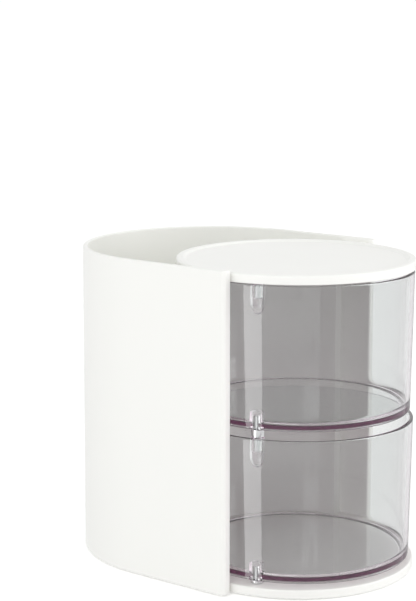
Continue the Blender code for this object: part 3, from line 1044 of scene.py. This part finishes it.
@dataclass
class BasePlate(SubAssembly):
    """The base: hollow below, with ribs, screw seats, pad seats and the lower pivot's boss."""

    rim_wall: float = 2.4 * MM
    plate: float = 2.4 * MM
    top_round: float = 0.9 * MM
    foot_round: float = 0.5 * MM
    rib_width: float = 1.6 * MM
    rib_setback: float = 0.6 * MM
    step: float = 0.2 * MM
    screw_seat_radius: float = 4.3 * MM
    head_radius: float = 2.9 * MM
    shank_radius: float = 1.5 * MM
    pad_seat_radius: float = 6.7 * MM
    pad_radius: float = 5.3 * MM
    pad_recess: float = 0.9 * MM

    def outline(self, inset: float = 0.0) -> list[Point]:
        """Plan of the base.

        Args:
            inset: How far it is drawn in.

        Returns:
            Its corners in order.
        """
        size = self.layout
        radius = size.base_radius - inset
        half = size.base_half - inset
        shoulder = size.housing_front + inset
        start = math.degrees(math.asin((shoulder - size.bay[1]) / radius))
        front = arc(size.bay, radius, 180.0 - start, 360.0 + start, ARC_STEPS)
        rear = arc(size.rear, half, 0.0, 180.0, ARC_STEPS)
        return front + [(half, shoulder)] + rear + [(-half, shoulder)]

    def ribs(self, low: float, high: float) -> list[bpy.types.Object]:
        """The spine and the two cross ribs under the plate.

        Args:
            low: Height of their lower edges.
            high: Height of their upper edges.

        Returns:
            The spine, and the cross ribs as one tool.
        """
        size = self.layout
        front = size.bay[1] - size.base_radius + self.rim_wall
        rear = size.rear[1] + size.base_half - self.rim_wall
        spine = block((0.0, (front + rear) / 2), self.rib_width, rear - front + SINK * 2, low, high)
        reach = size.base_half - self.rim_wall + SINK
        crosses = [block((0.0, y), reach * 2, self.rib_width, low, high)
                   for y in (size.web_back + self.screw_seat_radius * 2, size.rear[1])]
        return [spine, gathered(crosses)]

    def build(self) -> list[bpy.types.Object]:
        """Build the base: hollow it, add ribs, seats and the pivot's boss, then bore them.

        Returns:
            The dressed base, alone in a list.
        """
        size = self.layout
        foot = size.shell_foot
        under = size.base_top - self.plate
        high = under + SINK
        screws = plan_centres("housing_screw") + plan_centres("shell_screw")
        pads = plan_centres("anti_slip_pad")
        body = raised("base_floor", self.outline(), foot, size.base_top, self.top_round, self.foot_round)
        fuse(body, Fuse.CUT, raised("hollow", self.outline(self.rim_wall), foot - OVERRUN, under))
        fuse(body, Fuse.JOIN, *self.ribs(foot + self.rib_setback, high))
        seats = [drum(place, self.screw_seat_radius, foot + self.step, high) for place in screws]
        pad_seats = [drum(place, self.pad_seat_radius, foot + self.step, high) for place in pads]
        pivot_boss = drum(size.pivot, size.boss_radius, foot + self.step, high)
        fuse(body, Fuse.JOIN, gathered(seats), gathered(pad_seats), pivot_boss)
        heads = [drum(place, self.head_radius, foot - OVERRUN, under) for place in screws]
        shanks = [drum(place, self.shank_radius, under - SINK, size.base_top + OVERRUN) for place in screws]
        recesses = [drum(place, self.pad_radius, foot - OVERRUN, foot + self.pad_recess) for place in pads]
        bore = drum(size.pivot, size.socket_radius, under - FIT, size.base_top + OVERRUN)
        fuse(body, Fuse.CUT, gathered(heads), gathered(shanks), gathered(recesses), bore)
        return [self.dressed(body, self.palette.white, Slot.WHITE, Body.CASING, "base_plate")]


@dataclass
class SwingDrawer(SubAssembly):
    """A clear round drawer: drafted wall, rounded rim, coved floor and two pivot sockets."""

    tier: Body = Body.LOWER
    wall: float = 1.8 * MM
    floor: float = 2.2 * MM
    draft: float = 1.6 * MM
    rim_round: float = 0.7 * MM
    fine_round: float = 0.35 * MM
    foot_round: float = 0.7 * MM
    foot_ring: float = 2.4 * MM
    foot_recess: float = 0.8 * MM
    cove: float = 4.0 * MM
    socket_depth: float = 7.1 * MM
    rim_boss_depth: float = 15.0 * MM
    rim_boss_end: float = 7.0 * MM
    floor_boss_rise: float = 6.4 * MM
    boss_edge: float = 0.5 * MM
    boss_step: float = 0.1 * MM
    web_width: float = 2.4 * MM

    def profile(self, radius: float, foot: float, rim: float) -> list[Point]:
        """Half section of the cup.

        Args:
            radius: Outer radius at the rim.
            foot: Height of the underside.
            rim: Height of the rim.

        Returns:
            Points from the axis under the floor to the axis above it.
        """
        base = radius - self.draft
        under = foot + self.foot_recess
        edge = self.fine_round
        points = [(0.0, under), (base - self.foot_ring - edge, under)]
        points += arc((base - self.foot_ring + edge, foot + edge), edge, 180.0, 270.0, CORNER_STEPS)
        points += foot_corner(base, foot, self.foot_round, CLEAR_STEPS)
        points += top_corner(radius, rim, self.rim_round, BOLD_STEPS)
        points += arc((radius - self.wall + edge, rim - edge), edge, 90.0, 180.0, CLEAR_STEPS)
        points += arc((base - self.wall - self.cove, foot + self.floor + self.cove), self.cove, 0.0, -90.0,
                      COVE_STEPS)
        return points + [(0.0, foot + self.floor)]

    def rim_boss(self, rim: float) -> bpy.types.Object:
        """The boss that hangs from the rim, with a long oval lower end.

        Args:
            rim: Height of the rim.

        Returns:
            The boss.
        """
        size = self.layout
        top = rim - self.boss_step
        end = self.rim_boss_end
        shoulder = rim - self.rim_boss_depth + end
        profile = [(x * size.boss_radius, shoulder + y * end)
                   for x, y in arc((0.0, 0.0), 1.0, -90.0, 0.0, OVAL_STEPS)]
        return turned("rim_boss", profile + [(size.boss_radius, top), (0.0, top)], size.pivot)

    def floor_boss(self, foot: float) -> bpy.types.Object:
        """The boss that stands on the floor and reaches down to the foot ring's face.

        Args:
            foot: Height of the drawer's underside.

        Returns:
            The boss.
        """
        size = self.layout
        low = foot + self.boss_step
        top = foot + self.floor + self.floor_boss_rise
        profile = [(0.0, low), (size.boss_radius, low)]
        profile += top_corner(size.boss_radius, top, self.boss_edge)
        return turned("floor_boss", profile + [(0.0, top)], size.pivot)

    def socket(self, low: float, high: float, closed_above: bool) -> bpy.types.Object:
        """Cutter for a pin's socket, with a rounded blind end.

        Args:
            low: Height of its lower end.
            high: Height of its upper end.
            closed_above: Whether its blind end is the upper one.

        Returns:
            The cutter.
        """
        size = self.layout
        radius = size.socket_radius
        if closed_above:
            sides = [(radius, low)] + top_corner(radius, high, self.boss_edge)
        else:
            sides = foot_corner(radius, low, self.boss_edge) + [(radius, high)]
        return turned("socket", [(0.0, low)] + sides + [(0.0, high)], size.pivot)

    def build(self) -> list[bpy.types.Object]:
        """Build the cup with its bosses and sockets.

        Returns:
            The dressed drawer, alone in a list.
        """
        size = self.layout
        low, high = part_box(self.tier.value)
        foot, rim = low.z, high.z
        radius = (high.x - low.x) / 2
        centre = (0.0, (low.y + high.y) / 2)
        cup = turned(f"{self.tier.value}_cup", self.profile(radius, foot, rim), centre, DISC_STEPS)
        turn = heading(centre, size.pivot)
        reach = radius - self.wall / 2 - math.dist(centre, size.pivot)
        web = block(polar(size.pivot, reach / 2, turn), reach, self.web_width,
                    rim - self.rim_boss_depth + self.rim_boss_end, rim - self.wall / 2, turn)
        fuse(cup, Fuse.JOIN, self.rim_boss(rim), web, self.floor_boss(foot))
        fuse(cup, Fuse.CUT, self.socket(rim - self.socket_depth, rim + OVERRUN, False),
             self.socket(foot - OVERRUN, foot + self.socket_depth, True))
        return [self.dressed(cup, self.palette.clear, Slot.CLEAR, self.tier, self.tier.value)]


@dataclass
class PivotPins(SubAssembly):
    """The three shouldered pins that the drawers turn on, one above the other."""

    radius: float = 1.5 * MM
    collar_radius: float = 3.2 * MM
    end_round: float = 0.4 * MM
    collar_edge: float = 0.12 * MM

    def profile(self, low: float, collar_low: float, collar_high: float, high: float) -> list[Point]:
        """Half section of a pin.

        Args:
            low: Height of its lower end.
            collar_low: Height of the collar's foot.
            collar_high: Height of the collar's top.
            high: Height of its upper end.

        Returns:
            Points from the axis below to the axis above.
        """
        points = [(0.0, low)] + foot_corner(self.radius, low, self.end_round)
        points += [(self.radius, collar_low)]
        points += foot_corner(self.collar_radius, collar_low, self.collar_edge, FINE_STEPS)
        points += top_corner(self.collar_radius, collar_high, self.collar_edge, FINE_STEPS)
        points += [(self.radius, collar_high)]
        return points + top_corner(self.radius, high, self.end_round) + [(0.0, high)]

    def build(self) -> list[bpy.types.Object]:
        """Build each pin between the pieces that it holds apart.

        Returns:
            The dressed pins.
        """
        size = self.layout
        lower_low, lower_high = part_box(Body.LOWER.value)
        upper_low, upper_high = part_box(Body.UPPER.value)
        gaps = {"lower_pivot_pin": (size.base_top, lower_low.z),
                "middle_pivot_pin": (lower_high.z, upper_low.z),
                "upper_pivot_pin": (upper_high.z, size.cover_foot)}
        pins = []
        for name, (below, above) in gaps.items():
            low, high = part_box(name)
            profile = self.profile(low.z, below + FIT, above - FIT, high.z)
            pin = turned(name.replace("pivot_pin", "pin"), profile, size.pivot)
            pins.append(self.dressed(pin, self.palette.steel, Slot.STEEL, Body.CASING, name))
        return pins


@dataclass
class CasingScrews(SubAssembly):
    """The pan-head screws driven from below, with threads and cross recesses.

    root_start and root_end are shares of the thread's pitch. A recess stands at recess_turn degrees, plus
    one degree for each millimetre that its screw stands off the middle.
    """

    root_radius: float = 0.95 * MM
    thread_radius: float = 1.4 * MM
    thread_pitch: float = 1.1 * MM
    root_start: float = 0.3
    root_end: float = 0.7
    neck: float = 3.0 * MM
    head_height: float = 1.6 * MM
    head_crown: float = 0.5 * MM
    recess_width: float = 0.6 * MM
    recess_length: float = 2.8 * MM
    recess_depth: float = 0.9 * MM
    recess_turn: float = 45.0

    def profile(self, head_radius: float, low: float, tip: float) -> list[Point]:
        """Half section of a screw, from its crowned head up to its point.

        Args:
            head_radius: Radius of the head.
            low: Height of the head's lowest point.
            tip: Height of the point.

        Returns:
            Points from the axis below to the axis above.
        """
        crown = (head_radius ** 2 + self.head_crown ** 2) / (2 * self.head_crown)
        spread = math.degrees(math.asin(head_radius / crown))
        head_top = low + self.head_height
        points = arc((0.0, low + crown), crown, -90.0, -90.0 + spread, BOLD_STEPS)
        points += [(head_radius, head_top), (self.thread_radius, head_top)]
        pitch = self.thread_pitch
        height = head_top + self.neck
        points.append((self.thread_radius, height))
        while height < tip - pitch * 2:
            points.append((self.root_radius, height + pitch * self.root_start))
            points.append((self.root_radius, height + pitch * self.root_end))
            points.append((self.thread_radius, height + pitch))
            height += pitch
        return points + [(self.root_radius, height + pitch * self.root_start), (0.0, tip)]

    def build(self) -> list[bpy.types.Object]:
        """Build every screw where the frame has it.

        Returns:
            The dressed screws.
        """
        screws = []
        for name in nodes_with("screw"):
            low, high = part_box(name)
            place = plan_centre(name)
            profile = self.profile((high.x - low.x) / 2, low.z, high.z)
            screw = turned(name.replace("_screw", "_fixing"), profile, place)
            bottom, top = low.z - OVERRUN, low.z + self.recess_depth
            turn = self.recess_turn + place[0] / MM
            bars = [block(place, self.recess_length, self.recess_width, bottom, top, turn),
                    block(place, self.recess_width, self.recess_length, bottom, top, turn)]
            fuse(screw, Fuse.CUT, *bars)
            screws.append(self.dressed(screw, self.palette.zinc, Slot.STEEL, Body.CASING, name))
        return screws


@dataclass
class AntiSlipPads(SubAssembly):
    """The soft pads under the base, each with a rounded edge and grooves in its face."""

    edge_round: float = 0.35 * MM
    groove_radii: tuple[float, ...] = (1.3 * MM, 2.5 * MM, 3.7 * MM)
    groove_width: float = 0.35 * MM
    groove_depth: float = 0.2 * MM

    def profile(self, radius: float, low: float, high: float) -> list[Point]:
        """Half section of a pad.

        Args:
            radius: Its radius.
            low: Height of the face that it stands on.
            high: Height of its back.

        Returns:
            Points from the axis below to the axis above.
        """
        half = self.groove_width / 2
        points = [(0.0, low)]
        for groove in self.groove_radii:
            points += [(groove - half, low), (groove - half / 2, low + self.groove_depth),
                       (groove + half / 2, low + self.groove_depth), (groove + half, low)]
        points += foot_corner(radius, low, self.edge_round, ROUND_STEPS)
        return points + [(radius, high), (0.0, high)]

    def build(self) -> list[bpy.types.Object]:
        """Build every pad where the frame has it.

        Returns:
            The dressed pads.
        """
        pads = []
        for name in nodes_with("anti_slip_pad"):
            low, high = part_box(name)
            profile = self.profile((high.x - low.x) / 2, low.z, high.z)
            pad = turned(name.replace("anti_slip_pad", "foot_pad"), profile, plan_centre(name),
                         SMALL_STEPS * 2)
            pads.append(self.dressed(pad, self.palette.rubber, Slot.RUBBER, Body.CASING, name))
        return pads


# Studio


def bearing(azimuth: float, distance: float, rise: float = 0.0) -> Vector:
    """The step that leads away on a bearing.

    Args:
        azimuth: Bearing from -Y, in degrees.
        distance: Length of the step.
        rise: Its angle above the floor, in degrees.

    Returns:
        The step.
    """
    flat = distance * math.cos(math.radians(rise))
    turn = math.radians(azimuth)
    return Vector((math.sin(turn) * flat, -math.cos(turn) * flat, distance * math.sin(math.radians(rise))))


@dataclass(frozen=True)
class Softbox:
    """A square lamp: its bearing from -Y and its rise, in degrees, and its power in watts."""

    name: str
    azimuth: float
    rise: float
    power: float


@dataclass
class Studio:
    """Plain floor, soft light and the camera at the photograph's angle.

    Azimuths are bearings from -Y in degrees, and powers are in watts.
    """

    azimuth: float = -53.463
    distance: float = 897.5 * MM
    height: float = 295.5 * MM
    yaw: float = -52.146
    pitch: float = 7.373
    focal_px: float = 1766.7
    centre_px: float = 210.0
    image_height_px: float = 601.0
    sensor: float = 36.0
    dome_strength: float = 0.74
    floor_reach: float = 80.0
    floor_grey: float = 0.90
    floor_roughness: float = 0.9
    floor_lift: float = 0.32
    aim_height: float = 80.0 * MM
    softboxes: tuple[Softbox, ...] = (Softbox("key", azimuth=-77.0, rise=28.0, power=8.7),
                                      Softbox("front", azimuth=38.0, rise=15.0, power=12.0))
    softbox_distance: float = 1.8
    softbox_size: float = 1.1
    strip_aim: Point = (-56.0 * MM, -44.0 * MM)
    strip_azimuth: float = -103.3
    strip_distance: float = 2.0
    strip_width: float = 0.72
    strip_height: float = 0.9
    strip_power: float = 8.5
    # Glowing sheet beside the object, seen only in reflections: a painted grey reflection on the drawers
    side_azimuth: float = 103.0
    side_distance: float = 2.2
    side_size: float = 1.33
    side_drop: float = 0.36
    side_glow: float = 0.62

    def camera(self) -> None:
        """Place the camera."""
        data = bpy.data.cameras.new("camera")
        data.sensor_width = self.sensor
        data.lens = self.focal_px * self.sensor / self.image_height_px
        data.shift_y = (self.centre_px - self.image_height_px / 2) / self.image_height_px
        camera = bpy.data.objects.new("camera", data)
        camera.location = bearing(self.azimuth, self.distance) + Vector((0.0, 0.0, self.height))
        camera.rotation_euler = (math.radians(90.0 - self.pitch), 0.0, math.radians(self.yaw))
        bpy.context.scene.collection.objects.link(camera)
        bpy.context.scene.camera = camera

    def seen_rays(self, tree: bpy.types.NodeTree) -> bpy.types.NodeSocket:
        """One for what the camera, a mirror or a clear wall sees, nought for the light itself.

        Args:
            tree: The node tree to add to.

        Returns:
            The mask's socket.
        """
        path = tree.nodes.new("ShaderNodeLightPath")
        seen = path.outputs["Is Camera Ray"]
        for kind in ("Is Glossy Ray", "Is Transmission Ray"):
            either = tree.nodes.new("ShaderNodeMath")
            either.operation = "MAXIMUM"
            tree.links.new(seen, either.inputs[0])
            tree.links.new(path.outputs[kind], either.inputs[1])
            seen = either.outputs[0]
        return seen

    def world(self) -> None:
        """A white backdrop for what is seen, and a dome a little below white for the light."""
        world = bpy.data.worlds.new("studio")
        bpy.context.scene.world = world
        world.use_nodes = True
        nodes, links = world.node_tree.nodes, world.node_tree.links
        backdrop = nodes["Background"]
        backdrop.inputs["Color"].default_value = WHITE
        backdrop.inputs["Strength"].default_value = 1.0
        dome = nodes.new("ShaderNodeBackground")
        dome.inputs["Color"].default_value = WHITE
        dome.inputs["Strength"].default_value = self.dome_strength
        choose = nodes.new("ShaderNodeMixShader")
        links.new(self.seen_rays(world.node_tree), choose.inputs["Fac"])
        links.new(dome.outputs["Background"], choose.inputs[1])
        links.new(backdrop.outputs["Background"], choose.inputs[2])
        links.new(choose.outputs["Shader"], nodes["World Output"].inputs["Surface"])

    def floor(self) -> None:
        """A pale floor that goes on to the horizon and keeps the object's shadow."""
        bm = bmesh.new()
        bmesh.ops.create_grid(bm, x_segments=1, y_segments=1, size=self.floor_reach)
        plane = as_piece(bm, "studio_floor")
        grey = (self.floor_grey, self.floor_grey, self.floor_grey)
        material = new_finish("studio_floor", grey)
        nodes, links = material.node_tree.nodes, material.node_tree.links
        shader = nodes["Principled BSDF"]
        shader.inputs["Base Color"].default_value = (*grey, 1.0)
        shader.inputs["Roughness"].default_value = self.floor_roughness
        shader.inputs["Emission Color"].default_value = WHITE
        lift = nodes.new("ShaderNodeMath")
        lift.operation = "MULTIPLY"
        lift.inputs[1].default_value = self.floor_lift
        links.new(self.seen_rays(material.node_tree), lift.inputs[0])
        links.new(lift.outputs[0], shader.inputs["Emission Strength"])
        plane.data.materials.append(material)
        plane.visible_glossy = False

    def reflection_panel(self, aim: Vector) -> None:
        """A glowing grey sheet beside the object that only reflections show: a painted grey reflection
        along the clear drawers' edge, not a lamp.

        Args:
            aim: The point that it faces.
        """
        bm = bmesh.new()
        bmesh.ops.create_grid(bm, x_segments=1, y_segments=1, size=self.side_size / 2)
        away = bearing(self.side_azimuth, 1.0)
        bmesh.ops.rotate(bm, cent=(0.0, 0.0, 0.0), matrix=(-away).to_track_quat("Z", "Y").to_matrix(),
                         verts=bm.verts[:])
        bmesh.ops.translate(bm, vec=aim + away * self.side_distance - Vector((0.0, 0.0, self.side_drop)),
                            verts=bm.verts[:])
        wall = as_piece(bm, "studio_glow_panel")
        black = (0.0, 0.0, 0.0)
        material = new_finish("studio_glow_panel", black)
        shader = material.node_tree.nodes["Principled BSDF"]
        shader.inputs["Base Color"].default_value = (*black, 1.0)
        shader.inputs["Specular IOR Level"].default_value = 0.0
        # Its grey is its own glow, not light falling on it: a painted reflection
        shader.inputs["Emission Color"].default_value = WHITE
        shader.inputs["Emission Strength"].default_value = self.side_glow
        wall.data.materials.append(material)
        wall.visible_camera = False
        wall.visible_diffuse = False
        wall.visible_transmission = False
        wall.visible_volume_scatter = False
        wall.visible_shadow = False

    def lamp(self, name: str, place: Vector, aim: Vector, width: float, height: float,
             power: float) -> None:
        """One soft rectangular lamp.

        Args:
            name: Name of the lamp.
            place: Where it stands.
            aim: What it faces.
            width: Its width.
            height: Its height.
            power: Its power in watts.
        """
        data = bpy.data.lights.new(name, "AREA")
        data.shape = "RECTANGLE"
        data.size = width
        data.size_y = height
        data.energy = power
        lamp = bpy.data.objects.new(name, data)
        lamp.location = place
        lamp.rotation_euler = (aim - place).to_track_quat("-Z", "Y").to_euler()
        bpy.context.scene.collection.objects.link(lamp)

    def build(self) -> None:
        """Set the whole studio up."""
        self.camera()
        self.world()
        self.floor()
        aim = Vector((0.0, 0.0, self.aim_height))
        self.reflection_panel(aim)
        for box in self.softboxes:
            place = aim + bearing(box.azimuth, self.softbox_distance, box.rise)
            self.lamp(box.name, place, aim, self.softbox_size, self.softbox_size, box.power)
        foot = Vector((*self.strip_aim, -self.strip_height / 2))
        self.lamp("strip", foot + bearing(self.strip_azimuth, self.strip_distance), foot,
                  self.strip_width, self.strip_height, self.strip_power)


def main() -> None:
    """Build the studio and the organizer, log each piece's faces, and set the view and the light bounces.
    """
    layout = Layout.read()
    palette = Palette.mix()
    Studio().build()
    assemblies = [OuterShell(layout, palette), DrawerHousing(layout, palette), TopCover(layout, palette),
                  BasePlate(layout, palette), SwingDrawer(layout, palette, Body.LOWER),
                  SwingDrawer(layout, palette, Body.UPPER), PivotPins(layout, palette),
                  CasingScrews(layout, palette), AntiSlipPads(layout, palette)]
    for assembly in assemblies:
        for piece in assembly.build():
            LOG.info("%s, piece %s: %d faces", type(assembly).__name__, piece.name,
                     len(piece.data.polygons))
    bpy.context.scene.view_settings.view_transform = "Standard"
    bpy.context.scene.cycles.max_bounces = LIGHT_BOUNCES
    bpy.context.scene.cycles.diffuse_bounces = LIGHT_BOUNCES
    bpy.context.scene.cycles.glossy_bounces = LIGHT_BOUNCES
    bpy.context.scene.cycles.transmission_bounces = LIGHT_BOUNCES
    bpy.context.scene.cycles.transparent_max_bounces = LIGHT_BOUNCES


if __name__ == "__main__":
    logging.basicConfig(level=logging.INFO, format="%(name)s: %(message)s")
    main()
